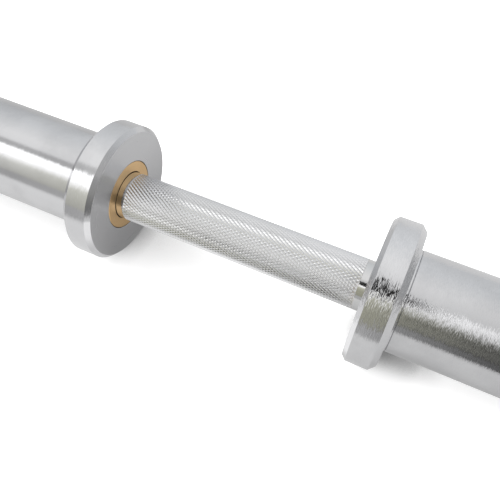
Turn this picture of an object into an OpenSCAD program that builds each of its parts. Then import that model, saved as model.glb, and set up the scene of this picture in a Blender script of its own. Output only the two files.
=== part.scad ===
// Loadable dumbbell bar with two turning sleeves.
// The bar lies along X with its middle at the origin. Each side is the same stack of
// pieces, laid out here for the +X side; the other side is that stack turned half round.

/* [Grip] */
// Clear length between the two collars
grip_gap = 131; // [100:1:170]
// Diameter of the plain shaft, which is also the inner bearing journal
shaft_d = 25; // [23:0.5:28]
// Height of the knurl's crests above the plain shaft
knurl_rise = 0.1; // [0.05:0.05:0.4]
// Plain polished length between the knurl and each collar
land_l = 4; // [2:0.5:15]
// Length of the slope at each end of the knurl
knurl_runout = 0.6; // [0.3:0.1:1.5]

/* [Collars] */
// Outer diameter of each collar
collar_d = 72; // [64:1:90]
// Thickness of each collar
collar_t = 16; // [14:0.5:25]
// Chamfer on the collar's rim at the grip's side
inner_chamfer = 2.2; // [0.5:0.1:4]
// Chamfer on the collar's rim at the plates' side
outer_chamfer = 2.9; // [0.5:0.1:4]
// Depth that the sleeve's spigot is pressed into the collar
spigot_l = 10; // [6:0.5:11]
// Diameter of that spigot, and of the bore it is pressed into
spigot_d = 46; // [44:0.5:48]
// How far the collar's boss stands out of its outer face, up to the sleeve's wall
boss_l = 1.2; // [0.5:0.1:3]
// Chamfer on both edges of the joint between boss and sleeve
joint_chamfer = 0.25; // [0.1:0.05:0.5]
// Depth of the relief groove round the boss, which lets a plate seat flat
seat_relief = 0.5; // [0.25:0.25:2]
// Width of that relief groove
seat_relief_w = 0.3; // [0.1:0.05:0.5]

/* [Sleeves] */
// Outer diameter of each sleeve, which the plates slide over
sleeve_d = 50; // [49:0.1:52]
// Loadable length of each sleeve, from the collar to the end face
sleeve_l = 170; // [120:5:300]
// Chamfer at the sleeve's outer end
sleeve_chamfer = 2; // [0.5:0.25:2.5]
// Diameter of the relieved bore between the two bushings
relief_d = 36; // [34:0.5:42]
// Slope length where the relieved bore meets a bushing seat
relief_slope = 2; // [0.5:0.5:6]

/* [Bushings] */
// Outside diameter of both bushing barrels
bush_d = 32; // [30:0.5:34]
// Diameter of the bushing flanges
flange_d = 36.5; // [35:0.5:37.5]
// Thickness of the bushing flanges
flange_t = 3; // [1.5:0.25:4]
// Overall length of the collar bushing
collar_bush_l = 30; // [18:1:45]
// Overall length of the end bushing
end_bush_l = 28; // [18:1:40]
// Radial running clearance between bushings and shaft
running_gap = 0.05; // [0.02:0.01:0.1]
// Radial gap round a flange in its counterbore
flange_gap = 0.3; // [0.1:0.05:0.6]
// Chamfer at the mouths of the bushing bores
bush_chamfer = 0.4; // [0.2:0.1:0.8]

/* [Shaft ends] */
// Diameter of the outer bearing journal
journal_d = 22; // [20:0.5:22.5]
// Thickness of the thrust washers
washer_t = 2; // [1:0.25:3]
// Radial gap between the thrust washers and the journal
washer_gap = 0.15; // [0.05:0.05:0.3]
// How far inside the bushing's outer wall the inner thrust washer ends
inner_washer_rim = 0.5; // [0.25:0.25:2]
// How far inside the bushing's flange the outer thrust washer ends
outer_washer_rim = 1.25; // [0.5:0.25:3]
// Axial float of the sleeve on the shaft, at each thrust washer
end_float = 0.15; // [0.1:0.05:0.5]
// Depth of the retaining groove in the shaft
shaft_groove_depth = 0.5; // [0.3:0.1:0.8]
// Thickness of the shaft's retaining ring
shaft_ring_t = 1.2; // [1:0.1:1.75]
// Length of shaft beyond the retaining groove
shaft_tail = 3; // [2:0.5:5]
// Chamfer at the ends of the shaft
shaft_chamfer = 1; // [0.5:0.25:1.5]
// Diameter of the lathe centre hole at its mouth
centre_d = 6; // [4:0.5:9]

/* [End caps] */
// Diameter of the end cap
cap_d = 42; // [40:0.5:42.5]
// Thickness of the end cap
cap_t = 5; // [4:0.25:7]
// Radial gap round the end cap in its counterbore
cap_gap = 0.1; // [0.05:0.05:0.3]
// Diameter of the shallow dished face of the cap
cap_dish_d = 28; // [20:0.5:30]
// Depth of the dished face
cap_dish_depth = 0.6; // [0.2:0.1:1.5]
// Chamfer at the cap's outer rim
cap_chamfer = 0.6; // [0.2:0.1:1]
// Free depth between the end face of the sleeve and the retaining ring
ring_recess = 2.4; // [1.5:0.1:4]
// Thickness of the cap's retaining ring
cap_ring_t = 1.75; // [1.2:0.05:2]
// Depth of the retaining groove in the sleeve
cap_groove_depth = 1.1; // [0.6:0.1:1.4]
// Cord thickness of the seal round the cap
seal_w = 1.8; // [1.2:0.1:2.2]
// Free depth between the shaft's end and the cap
shaft_end_gap = 3; // [1:0.5:8]

/* [Retaining rings] */
// Widest radial width of the shaft's ring, opposite its gap
shaft_ring_w = 2.8; // [2:0.1:3.2]
// Radial width of the shaft's ring beside its lugs
shaft_ring_tip_w = 1.6; // [1.2:0.1:2]
// Radial reach of the shaft ring's lugs
shaft_ring_lug = 4; // [3.5:0.1:4.5]
// Diameter of the plier holes in the shaft's ring
shaft_ring_hole = 1.8; // [1.2:0.1:2]
// Widest radial width of the cap's ring, opposite its gap
cap_ring_w = 4; // [3:0.1:4.5]
// Radial width of the cap's ring beside its lugs
cap_ring_tip_w = 2.3; // [1.8:0.1:2.8]
// Radial reach of the cap ring's lugs
cap_ring_lug = 5.6; // [5:0.1:6.5]
// Diameter of the plier holes in the cap's ring
cap_ring_hole = 2.4; // [1.5:0.1:2.8]
// Free width between the lug ends of a ring, before its lugs
ring_mouth = 5; // [3:0.25:7]
// Side play of a retaining ring in its groove
groove_play = 0.1; // [0.05:0.05:0.2]

/* [Hidden] */

$fn = 96;
eps = 0.01;

// Colours as the finished pieces look
chrome_colour = [0.80, 0.81, 0.82];
knurl_colour = [0.72, 0.73, 0.74];
collar_colour = [0.68, 0.69, 0.70];
bronze_colour = [0.76, 0.60, 0.36];
washer_colour = [0.62, 0.63, 0.65];
spring_steel_colour = [0.20, 0.20, 0.21];
cap_colour = [0.74, 0.75, 0.76];
seal_colour = [0.08, 0.08, 0.08];

// Places along X, from the middle of the bar towards one end
collar_face = grip_gap / 2;
collar_back = collar_face + collar_t;
boss_end = collar_back + boss_l;
spigot_start = collar_back - spigot_l;
sleeve_end = collar_back + sleeve_l;
collar_bush_end = collar_face + collar_bush_l;
knurl_end = collar_face - land_l;

// The end of the sleeve, worked inwards from its end face
cap_ring_out = sleeve_end - ring_recess;
cap_groove_w = cap_ring_t + groove_play;
cap_out = cap_ring_out - cap_ring_t;
cap_seat = cap_out - cap_t;
shaft_end = cap_seat - shaft_end_gap;
shaft_groove_w = shaft_ring_t + groove_play;
shaft_ring_out = shaft_end - shaft_tail;
shaft_ring_in = shaft_ring_out - shaft_ring_t;
outer_washer_in = shaft_ring_in - washer_t;
flange_out = outer_washer_in - end_float;
flange_seat = flange_out - flange_t;
end_bush_in = flange_out - end_bush_l;
inner_washer_out = end_bush_in - end_float;
shoulder = inner_washer_out - washer_t;

// Diameters that follow from the fits
knurl_d = shaft_d + 2 * knurl_rise;
seat_relief_d = sleeve_d + 2 * seat_relief_w;
joint_d = sleeve_d - 2 * joint_chamfer;
collar_bush_bore = shaft_d + 2 * running_gap;
end_bush_bore = journal_d + 2 * running_gap;
washer_bore = journal_d + 2 * washer_gap;
inner_washer_d = bush_d - 2 * inner_washer_rim;
outer_washer_d = flange_d - 2 * outer_washer_rim;
washer_edge = washer_t / 8;
flange_bore = flange_d + 2 * flange_gap;
shaft_groove_d = journal_d - 2 * shaft_groove_depth;
cap_bore = cap_d + 2 * cap_gap;
cap_groove_d = cap_bore + 2 * cap_groove_depth;
seal_groove_d = cap_bore - 2 * seal_w;
seal_x = cap_seat + cap_t / 2;

// Turns a profile of [place along X, radius] points about the X axis.
module turned(profile) {
    rotate([0, 90, 0])
        rotate_extrude()
            polygon([for (p = profile) [p[1], p[0]]]);
}

// A flat ring between two places along X, with its outer edges broken.
module washer(x0, x1, inner_d, outer_d, chamfer) {
    turned([
        [x0, inner_d / 2],
        [x0, outer_d / 2 - chamfer],
        [x0 + chamfer, outer_d / 2],
        [x1 - chamfer, outer_d / 2],
        [x1, outer_d / 2 - chamfer],
        [x1, inner_d / 2]
    ]);
}

// The +X side as drawn, or the same stack turned to the -X side.
module right_side() {
    children();
}

module left_side() {
    rotate([0, 0, 180]) children();
}

// One solid bar: knurled grip, polished lands, inner journals, shoulders, outer journals
// with a groove near each end, and lathe centre holes in the ends.
module shaft() {
    color(chrome_colour)
        difference() {
            turned([
                [-shaft_end, 0],
                each [for (p = shaft_half()) [-p[0], p[1]]],
                each [for (i = [len(shaft_half()) - 1:-1:0]) shaft_half()[i]],
                [shaft_end, 0]
            ]);
            right_side() centre_hole();
            left_side() centre_hole();
        }
}

// Outline of half the shaft, from its +X end to the end of the knurl.
function shaft_half() = [
    [shaft_end, journal_d / 2 - shaft_chamfer],
    [shaft_end - shaft_chamfer, journal_d / 2],
    [shaft_ring_out, journal_d / 2],
    [shaft_ring_out, shaft_groove_d / 2],
    [shaft_ring_out - shaft_groove_w, shaft_groove_d / 2],
    [shaft_ring_out - shaft_groove_w, journal_d / 2],
    [shoulder, journal_d / 2],
    [shoulder, shaft_d / 2 - shaft_chamfer / 2],
    [shoulder - shaft_chamfer / 2, shaft_d / 2],
    [knurl_end, shaft_d / 2],
    [knurl_end - knurl_runout, knurl_d / 2]
];

// The pilot and the 60 degree cone of a lathe centre.
module centre_hole() {
    pilot_d = centre_d / 2.5;
    cone_l = (centre_d - pilot_d) / 2 / tan(30);
    turned([
        [shaft_end + eps, 0],
        [shaft_end + eps, centre_d / 2],
        [shaft_end, centre_d / 2],
        [shaft_end - cone_l, pilot_d / 2],
        [shaft_end - cone_l - pilot_d, pilot_d / 2],
        [shaft_end - cone_l - pilot_d, 0]
    ]);
}

// A chamfered disc with a counterbore for the bushing's flange in its inner face, a bore
// for the barrel, and a deep rear bore that the sleeve's spigot is pressed into. Round that
// bore stands a low boss with the sleeve's diameter, and the sleeve's wall begins at it.
module collar() {
    color(collar_colour)
        turned([
            [collar_face + flange_t, bush_d / 2],
            [collar_face + flange_t, flange_bore / 2],
            [collar_face, flange_bore / 2],
            [collar_face, collar_d / 2 - inner_chamfer],
            [collar_face + inner_chamfer, collar_d / 2],
            [collar_back - outer_chamfer, collar_d / 2],
            [collar_back, collar_d / 2 - outer_chamfer],
            [collar_back, seat_relief_d / 2],
            [collar_back - seat_relief, seat_relief_d / 2],
            [collar_back - seat_relief, sleeve_d / 2],
            [boss_end - joint_chamfer, sleeve_d / 2],
            [boss_end, joint_d / 2],
            [boss_end, spigot_d / 2],
            [spigot_start, spigot_d / 2],
            [spigot_start, bush_d / 2]
        ]);
}

// The tube that carries the plates: a spigot pressed into the collar, a seat for each
// bushing with a relieved bore between them, a pocket for the shaft's end, a step for the
// cap and a groove for its ring.
module sleeve() {
    color(chrome_colour)
        turned([
            [spigot_start, bush_d / 2],
            [spigot_start, spigot_d / 2],
            [boss_end, spigot_d / 2],
            [boss_end, joint_d / 2],
            [boss_end + joint_chamfer, sleeve_d / 2],
            [sleeve_end - sleeve_chamfer, sleeve_d / 2],
            [sleeve_end, sleeve_d / 2 - sleeve_chamfer],
            [sleeve_end, cap_bore / 2],
            [cap_ring_out, cap_bore / 2],
            [cap_ring_out, cap_groove_d / 2],
            [cap_ring_out - cap_groove_w, cap_groove_d / 2],
            [cap_ring_out - cap_groove_w, cap_bore / 2],
            [cap_seat, cap_bore / 2],
            [cap_seat, flange_bore / 2],
            [flange_seat, flange_bore / 2],
            [flange_seat, bush_d / 2],
            [end_bush_in, bush_d / 2],
            [end_bush_in - relief_slope, relief_d / 2],
            [collar_bush_end + relief_slope, relief_d / 2],
            [collar_bush_end, bush_d / 2]
        ]);
}

// A flanged bronze bushing with its flange at x0, reaching towards +X for dir = 1.
module flanged_bushing(x0, length, bore_d, dir) {
    color(bronze_colour)
        turned([for (p = [
            [0, bore_d / 2 + bush_chamfer],
            [0, flange_d / 2 - bush_chamfer / 2],
            [bush_chamfer / 2, flange_d / 2],
            [flange_t, flange_d / 2],
            [flange_t, bush_d / 2],
            [length - bush_chamfer, bush_d / 2],
            [length, bush_d / 2 - bush_chamfer],
            [length, bore_d / 2 + bush_chamfer],
            [length - bush_chamfer, bore_d / 2],
            [bush_chamfer, bore_d / 2]
        ]) [x0 + dir * p[0], p[1]]]);
}

module collar_bushing() {
    flanged_bushing(collar_face, collar_bush_l, collar_bush_bore, 1);
}

module end_bushing() {
    flanged_bushing(flange_out, end_bush_l, end_bush_bore, -1);
}

module inner_thrust_washer() {
    color(washer_colour)
        washer(shoulder, inner_washer_out, washer_bore, inner_washer_d, washer_edge);
}

module outer_thrust_washer() {
    color(washer_colour)
        washer(outer_washer_in, shaft_ring_in, washer_bore, outer_washer_d, washer_edge);
}

// Half the angle of a ring's gap, measured where the lugs stand.
function mouth_angle(r) = asin(ring_mouth / 2 / r);

// Flat outline of an external retaining ring: an eccentric beam, open at +Y, with two
// lugs that reach outwards and carry the plier holes.
module outside_ring_outline(seat_d) {
    seat_r = seat_d / 2;
    beam_r = seat_r + (shaft_ring_w + shaft_ring_tip_w) / 2;
    shift = (shaft_ring_w - shaft_ring_tip_w) / 2;
    lug_r = seat_r + shaft_ring_lug;
    lug_w = shaft_ring_hole * 2.2;
    hole_r = seat_r + shaft_ring_lug * 0.55;
    angle = mouth_angle(seat_r) + asin(lug_w / 2 / hole_r);
    difference() {
        union() {
            translate([0, -shift]) circle(r = beam_r);
            for (side = [-1, 1])
                rotate(side * angle)
                    translate([-lug_w / 2, 0]) square([lug_w, lug_r]);
        }
        circle(r = seat_r);
        ring_gap_cut(angle, seat_r + shaft_ring_lug * 2, lug_w);
        for (side = [-1, 1])
            rotate(side * angle) translate([0, hole_r]) circle(d = shaft_ring_hole);
    }
}

// Flat outline of an internal retaining ring: the beam is inside its seat, open at +Y,
// and the lugs reach inwards.
module inside_ring_outline(seat_d) {
    seat_r = seat_d / 2;
    hollow_r = seat_r - (cap_ring_w + cap_ring_tip_w) / 2;
    shift = (cap_ring_w - cap_ring_tip_w) / 2;
    lug_r = seat_r - cap_ring_lug;
    lug_w = cap_ring_hole * 2.2;
    hole_r = seat_r - cap_ring_lug * 0.55;
    angle = mouth_angle(lug_r) + asin(lug_w / 2 / hole_r);
    difference() {
        union() {
            difference() {
                circle(r = seat_r);
                translate([0, shift]) circle(r = hollow_r);
            }
            for (side = [-1, 1])
                intersection() {
                    circle(r = seat_r);
                    rotate(side * angle)
                        translate([-lug_w / 2, lug_r]) square([lug_w, cap_ring_lug]);
                }
        }
        ring_gap_cut(angle, seat_r * 2, lug_w);
        for (side = [-1, 1])
            rotate(side * angle) translate([0, hole_r]) circle(d = cap_ring_hole);
    }
}

// The wedge between the two lugs, with sides along the lugs' inner edges.
module ring_gap_cut(angle, reach, lug_w) {
    corner = lug_w / 2 / sin(angle);
    polygon([
        [0, corner],
        [-reach * sin(angle), corner + reach * cos(angle)],
        [reach * sin(angle), corner + reach * cos(angle)]
    ]);
}

// Stands a flat outline on the X axis between two places, with its gap upwards.
module stamped(x0, x1) {
    translate([x0, 0, 0])
        rotate([90, 0, 90])
            linear_extrude(height = x1 - x0) children();
}

module shaft_retaining_ring() {
    color(spring_steel_colour)
        stamped(shaft_ring_in, shaft_ring_out) outside_ring_outline(shaft_groove_d);
}

module cap_retaining_ring() {
    color(spring_steel_colour)
        stamped(cap_out, cap_ring_out) inside_ring_outline(cap_groove_d);
}

// A turned disc with a bare dished face and a groove round it for the seal.
module end_cap() {
    color(cap_colour)
        turned([
            [cap_seat, 0],
            [cap_seat, cap_d / 2],
            [seal_x - seal_w / 2, cap_d / 2],
            [seal_x - seal_w / 2, seal_groove_d / 2],
            [seal_x + seal_w / 2, seal_groove_d / 2],
            [seal_x + seal_w / 2, cap_d / 2],
            [cap_out - cap_chamfer, cap_d / 2],
            [cap_out, cap_d / 2 - cap_chamfer],
            [cap_out, cap_dish_d / 2],
            [cap_out - cap_dish_depth, cap_dish_d / 2 - cap_dish_depth],
            [cap_out - cap_dish_depth, 0]
        ]);
}

// The round rubber seal in the cap's groove.
module cap_seal() {
    color(seal_colour)
        translate([seal_x, 0, 0])
            rotate([0, 90, 0])
                rotate_extrude()
                    translate([(seal_groove_d + seal_w) / 2, 0]) circle(d = seal_w, $fn = 48);
}

shaft();

left_side() collar();  // left_collar
left_side() sleeve();  // left_sleeve
left_side() collar_bushing();  // left_collar_bushing
left_side() end_bushing();  // left_end_bushing
left_side() inner_thrust_washer();  // left_inner_thrust_washer
left_side() outer_thrust_washer();  // left_outer_thrust_washer
left_side() shaft_retaining_ring();  // left_shaft_retaining_ring
left_side() end_cap();  // left_end_cap
left_side() cap_seal();  // left_cap_seal
left_side() cap_retaining_ring();  // left_cap_retaining_ring

right_side() collar();  // right_collar
right_side() sleeve();  // right_sleeve
right_side() collar_bushing();  // right_collar_bushing
right_side() end_bushing();  // right_end_bushing
right_side() inner_thrust_washer();  // right_inner_thrust_washer
right_side() outer_thrust_washer();  // right_outer_thrust_washer
right_side() shaft_retaining_ring();  // right_shaft_retaining_ring
right_side() end_cap();  // right_end_cap
right_side() cap_seal();  // right_cap_seal
right_side() cap_retaining_ring();  // right_cap_retaining_ring
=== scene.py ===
# %% [markdown]
# # A dumbbell bar with turning sleeves
#
# The bar is a one-piece steel shaft with a knurled grip. At each side a chamfered collar
# and a smooth plate sleeve turn on the shaft in flanged bronze bushings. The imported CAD
# model is loaded first and gives every piece its place. Every new piece is then made in
# metres in that same frame, so nothing has to be fitted by eye.

import math

import bmesh
import bpy
import numpy as np
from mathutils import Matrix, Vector


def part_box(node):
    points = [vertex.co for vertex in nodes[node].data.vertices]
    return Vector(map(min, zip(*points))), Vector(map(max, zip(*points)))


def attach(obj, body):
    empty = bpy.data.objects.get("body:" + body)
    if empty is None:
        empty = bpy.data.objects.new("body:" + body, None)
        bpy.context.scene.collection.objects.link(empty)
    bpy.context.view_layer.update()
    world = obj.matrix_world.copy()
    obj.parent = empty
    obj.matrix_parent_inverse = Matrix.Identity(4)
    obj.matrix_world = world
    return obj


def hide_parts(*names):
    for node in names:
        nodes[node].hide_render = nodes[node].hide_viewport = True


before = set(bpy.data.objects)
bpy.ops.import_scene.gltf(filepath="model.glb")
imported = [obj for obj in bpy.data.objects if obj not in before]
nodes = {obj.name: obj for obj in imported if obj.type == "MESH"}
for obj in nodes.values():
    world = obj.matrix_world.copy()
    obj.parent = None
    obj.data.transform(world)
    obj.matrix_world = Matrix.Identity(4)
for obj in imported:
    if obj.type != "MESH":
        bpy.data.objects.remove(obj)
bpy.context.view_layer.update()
SIDES = {"left": -1.0, "right": 1.0}
print("CAD nodes:", len(nodes))

# %% [markdown]
# ## Sizes read from the frame
#
# A lathe-turned piece is known by a few places along the axis and a few radii. Those that
# are the outer limits of a CAD node are read from its box, so the looks follow the model.
# The sizes inside a piece are named where the piece is made.


# %% Places along the bar
def reach(node):
    low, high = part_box(node)
    return low.x, high.x, high.z


BOSS_L = 0.0012
sleeve_r = 0.025

shaft_end = reach("shaft")[1]
knurl_crest_r = reach("shaft")[2]
collar_face, boss_end, collar_r = reach("right_collar")
collar_back = boss_end - BOSS_L
sleeve_end = reach("right_sleeve")[1]
bushing_in = reach("right_collar_bushing")[1]
flange_r = reach("right_collar_bushing")[2]
cap_in, cap_out, cap_r = reach("right_end_cap")
print("collar from", round(collar_face, 4), "to", round(collar_back, 4))
print("sleeve ends at", round(sleeve_end, 4))

# %% [markdown]
# ## The camera
#
# The photograph was taken from close by, so the perspective is strong and no far camera
# can copy it. The place, aim and lens were solved from the bar's outlines: the two
# collars give four ellipses, and the grip gives two straight edges. The camera has no
# sideways tilt and looks down steeply on the bar.

# %% Camera
CAMERA_PLACE = Vector((0.07272, -0.14666, 0.23665))
CAMERA_AIM = Vector((0.00633, -0.00473, 0.0))
CAMERA_LENS_MM = 41.71
CAMERA_SENSOR_MM = 36.0
CAMERA_NEAR = 0.01

camera_data = bpy.data.cameras.new("camera")
camera_data.lens = CAMERA_LENS_MM
camera_data.sensor_width = CAMERA_SENSOR_MM
camera_data.clip_start = CAMERA_NEAR
camera = bpy.data.objects.new("camera", camera_data)
camera.location = CAMERA_PLACE
aim = (CAMERA_AIM - CAMERA_PLACE).to_track_quat("-Z", "Y")
camera.rotation_euler = aim.to_euler()
bpy.context.scene.collection.objects.link(camera)
bpy.context.scene.camera = camera
bpy.context.scene.view_settings.view_transform = "Standard"
print("camera stands", round((CAMERA_PLACE - CAMERA_AIM).length, 3), "m from its aim")

# %% [markdown]
# ## A small tool box for node materials
#
# Every finish here is a graph of nodes. A few helpers keep the graphs readable: they add a
# node and fill its sockets, each with a number or with the output of another node.


# %% Node helpers
def feed(tree, socket, value):
    if isinstance(value, bpy.types.NodeSocket):
        tree.links.new(value, socket)
    else:
        socket.default_value = value


def add_node(tree, kind, settings=None, **inputs):
    node = tree.nodes.new(kind)
    for key, value in (settings or {}).items():
        setattr(node, key, value)
    for key, value in inputs.items():
        feed(tree, node.inputs[key.replace("_", " ")], value)
    return node


def arithmetic(tree, operation, *values):
    node = add_node(tree, "ShaderNodeMath", {"operation": operation})
    for socket, value in zip(node.inputs, values):
        feed(tree, socket, value)
    return node.outputs[0]


def blend(tree, kind, factor, a, b):
    return add_node(tree, "ShaderNodeMix", {"data_type": kind}, Factor=factor, A=a, B=b).outputs["Result"]


def span(tree, value, ends, levels=(0.0, 1.0), easing="SMOOTHSTEP"):
    node = add_node(tree, "ShaderNodeMapRange", {"interpolation_type": easing}, Value=value)
    for label, setting in zip(("From Min", "From Max", "To Min", "To Max"), (*ends, *levels)):
        feed(tree, node.inputs[label], setting)
    return node.outputs[0]


def own_place(tree):
    return add_node(tree, "ShaderNodeTexCoord").outputs["Object"]


def round_the_bar(tree):
    return add_node(tree, "ShaderNodeTangent", {"direction_type": "RADIAL", "axis": "X"}).outputs["Tangent"]


print("node helpers: feed, add_node, arithmetic, blend, span, own_place, round_the_bar")

# %% [markdown]
# An effect that several finishes share is built once as a node group, with named inputs and
# outputs, and each material then uses it with its own values.


# %% Group helper
def new_group(name, inputs, outputs):
    tree = bpy.data.node_groups.new(name, "ShaderNodeTree")
    for label, default in inputs:
        socket = tree.interface.new_socket(label, in_out="INPUT", socket_type="NodeSocketFloat")
        socket.default_value = default
    for label, kind in outputs:
        tree.interface.new_socket(label, in_out="OUTPUT", socket_type=kind)
    entry = tree.nodes.new("NodeGroupInput")
    leave = tree.nodes.new("NodeGroupOutput")
    return tree, entry, leave


print("group helper: new_group")

# %% [markdown]
# ## Marks of the lathe and the polishing belt
#
# Every metal piece of this bar is turned, so its fine marks run round the axis: as hoops on
# a cylinder and as rings on a flat face. One group serves both. It feeds four-dimensional
# noise with the place along the axis, the radius, and the cosine and sine of the angle
# round the axis. The first two run fast and the last two slowly, so the noise is drawn
# out into strokes along the turning direction, and it has no seam.
#
# The group's normal leans a little along the strokes, which tears the edge of a mirrored
# lamp into ragged lines, as brushing does. The photograph shows those lines high on the
# bar and hardly any on its front, so below a certain height the lean is calmed.

# %% Turning marks group
NOISE_MIDDLE = 0.5
AXIS_GUARD = 0.0005
HOOP_DETAIL = 3.0
CALM_HEIGHTS = (0.42, 0.66)
CALM_SHARE = 0.25


def make_turning_marks():
    tree, entry, leave = new_group(
        "turning_marks",
        [("Fineness", 2500.0), ("Stroke", 12.0), ("Detail", 1.0), ("Waver", 0.05)],
        [("Strokes", "NodeSocketFloat"), ("Hoops", "NodeSocketFloat"), ("Normal", "NodeSocketVector")],
    )
    fine = entry.outputs["Fineness"]
    stroke = entry.outputs["Stroke"]
    x, y, z = add_node(tree, "ShaderNodeSeparateXYZ", Vector=own_place(tree)).outputs
    squares = arithmetic(tree, "MULTIPLY_ADD", y, y, arithmetic(tree, "MULTIPLY", z, z))
    radius = arithmetic(tree, "MAXIMUM", arithmetic(tree, "SQRT", squares), AXIS_GUARD)
    cosine = arithmetic(tree, "DIVIDE", y, radius)
    sine = arithmetic(tree, "DIVIDE", z, radius)
    along = arithmetic(tree, "MULTIPLY", x, fine)
    outward = arithmetic(tree, "MULTIPLY", radius, fine)
    round_place = add_node(
        tree,
        "ShaderNodeCombineXYZ",
        X=along,
        Y=arithmetic(tree, "MULTIPLY", cosine, stroke),
        Z=arithmetic(tree, "MULTIPLY", sine, stroke),
    )
    strokes = add_node(
        tree,
        "ShaderNodeTexNoise",
        {"noise_dimensions": "4D"},
        Vector=round_place.outputs[0],
        W=outward,
        Scale=1.0,
        Detail=entry.outputs["Detail"],
    )
    hoop_place = add_node(tree, "ShaderNodeCombineXYZ", X=along, Y=outward)
    hoops = add_node(
        tree,
        "ShaderNodeTexNoise",
        {"noise_dimensions": "2D"},
        Vector=hoop_place.outputs[0],
        Scale=1.0,
        Detail=HOOP_DETAIL,
    )
    lean = arithmetic(tree, "SUBTRACT", strokes.outputs["Fac"], NOISE_MIDDLE)
    lean = arithmetic(tree, "MULTIPLY", lean, entry.outputs["Waver"])
    calm = span(tree, sine, CALM_HEIGHTS, (CALM_SHARE, 1.0))
    lean = arithmetic(tree, "MULTIPLY", lean, calm)
    push = add_node(tree, "ShaderNodeVectorMath", {"operation": "SCALE"}, Scale=lean)
    feed(tree, push.inputs[0], round_the_bar(tree))
    tilted = add_node(tree, "ShaderNodeVectorMath", {"operation": "ADD"})
    feed(tree, tilted.inputs[0], add_node(tree, "ShaderNodeNewGeometry").outputs["Normal"])
    feed(tree, tilted.inputs[1], push.outputs[0])
    unit = add_node(tree, "ShaderNodeVectorMath", {"operation": "NORMALIZE"})
    feed(tree, unit.inputs[0], tilted.outputs[0])
    feed(tree, leave.inputs["Strokes"], strokes.outputs["Fac"])
    feed(tree, leave.inputs["Hoops"], hoops.outputs["Fac"])
    feed(tree, leave.inputs["Normal"], unit.outputs[0])
    return tree


turning_marks = make_turning_marks()
print("group:", turning_marks.name)

# %% [markdown]
# ## Uneven gloss
#
# Handled, wiped metal is never equally glossy all over. This group gives a slow, cloudy
# mask in the piece's own space, which a material uses to vary its roughness and tint.

# %% Uneven gloss group
CLOUD_DETAIL = 4.0
CLOUD_ROUGHNESS = 0.55
CLOUD_RANGE = (0.35, 0.65)


def make_uneven_gloss():
    tree, entry, leave = new_group(
        "uneven_gloss",
        [("Size", 60.0), ("Low", 0.0), ("High", 1.0)],
        [("Mask", "NodeSocketFloat")],
    )
    cloud = add_node(
        tree,
        "ShaderNodeTexNoise",
        Vector=own_place(tree),
        Scale=entry.outputs["Size"],
        Detail=CLOUD_DETAIL,
        Roughness=CLOUD_ROUGHNESS,
    )
    mask = span(tree, cloud.outputs["Fac"], CLOUD_RANGE, (entry.outputs["Low"], entry.outputs["High"]))
    feed(tree, leave.inputs["Mask"], mask)
    return tree


uneven_gloss = make_uneven_gloss()
print("group:", uneven_gloss.name)

# %% [markdown]
# ## One way to dress turned metal
#
# All the steels and the bronze share a recipe: a metallic Principled shader, turning marks
# in its bump, and a roughness and a tint that wander a little with the two groups. What
# makes a ground sleeve, a satin collar or a bronze bushing is only the numbers. A ground
# surface also stretches its highlights across the marks, so the shader is anisotropic,
# with a tangent that runs round the bar.

# %% Turned metal material
QUARTER_TURN = 0.25
GLOSS_SIZE = 45.0
CLOUD_TINT_SHARE = 0.5
STROKE_TINT_SHARE = 0.5


def turned_metal(name, colour, dark, roughness, spread, marks, bump, stretch):
    material = bpy.data.materials.new(name)
    material.use_nodes = True
    tree = material.node_tree
    shader = tree.nodes["Principled BSDF"]
    shader.inputs["Metallic"].default_value = 1.0
    shader.inputs["Anisotropic"].default_value = stretch
    shader.inputs["Anisotropic Rotation"].default_value = QUARTER_TURN
    fineness, stroke, waver = marks
    lines = add_node(
        tree,
        "ShaderNodeGroup",
        {"node_tree": turning_marks},
        Fineness=fineness,
        Stroke=stroke,
        Waver=waver,
    )
    gloss = add_node(tree, "ShaderNodeGroup", {"node_tree": uneven_gloss}, Size=GLOSS_SIZE)
    cloud = arithmetic(tree, "MULTIPLY", gloss.outputs["Mask"], CLOUD_TINT_SHARE)
    tint = arithmetic(tree, "MULTIPLY_ADD", lines.outputs["Strokes"], STROKE_TINT_SHARE, cloud)
    feed(tree, shader.inputs["Base Color"], blend(tree, "RGBA", tint, (*dark, 1.0), (*colour, 1.0)))
    rough = arithmetic(tree, "MULTIPLY_ADD", gloss.outputs["Mask"], spread, roughness)
    rough = arithmetic(tree, "MULTIPLY_ADD", lines.outputs["Hoops"], spread, rough)
    feed(tree, shader.inputs["Roughness"], rough)
    relief = add_node(
        tree,
        "ShaderNodeBump",
        Strength=1.0,
        Distance=bump,
        Height=lines.outputs["Strokes"],
        Normal=lines.outputs["Normal"],
    )
    feed(tree, shader.inputs["Normal"], relief.outputs["Normal"])
    if stretch > 0.0:
        feed(tree, shader.inputs["Tangent"], round_the_bar(tree))
    return material


print("material recipe: turned_metal")

# %% [markdown]
# ## The finishes
#
# Each finish below is one call of the recipe. Its marks are the fineness along the bar, the
# number of strokes round it and how far the strokes waver. Sleeves and collar rims are
# ground bright, almost mirrors. The photograph shows the right side with much rougher
# strokes than the left, so the waver goes by the side.

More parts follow.
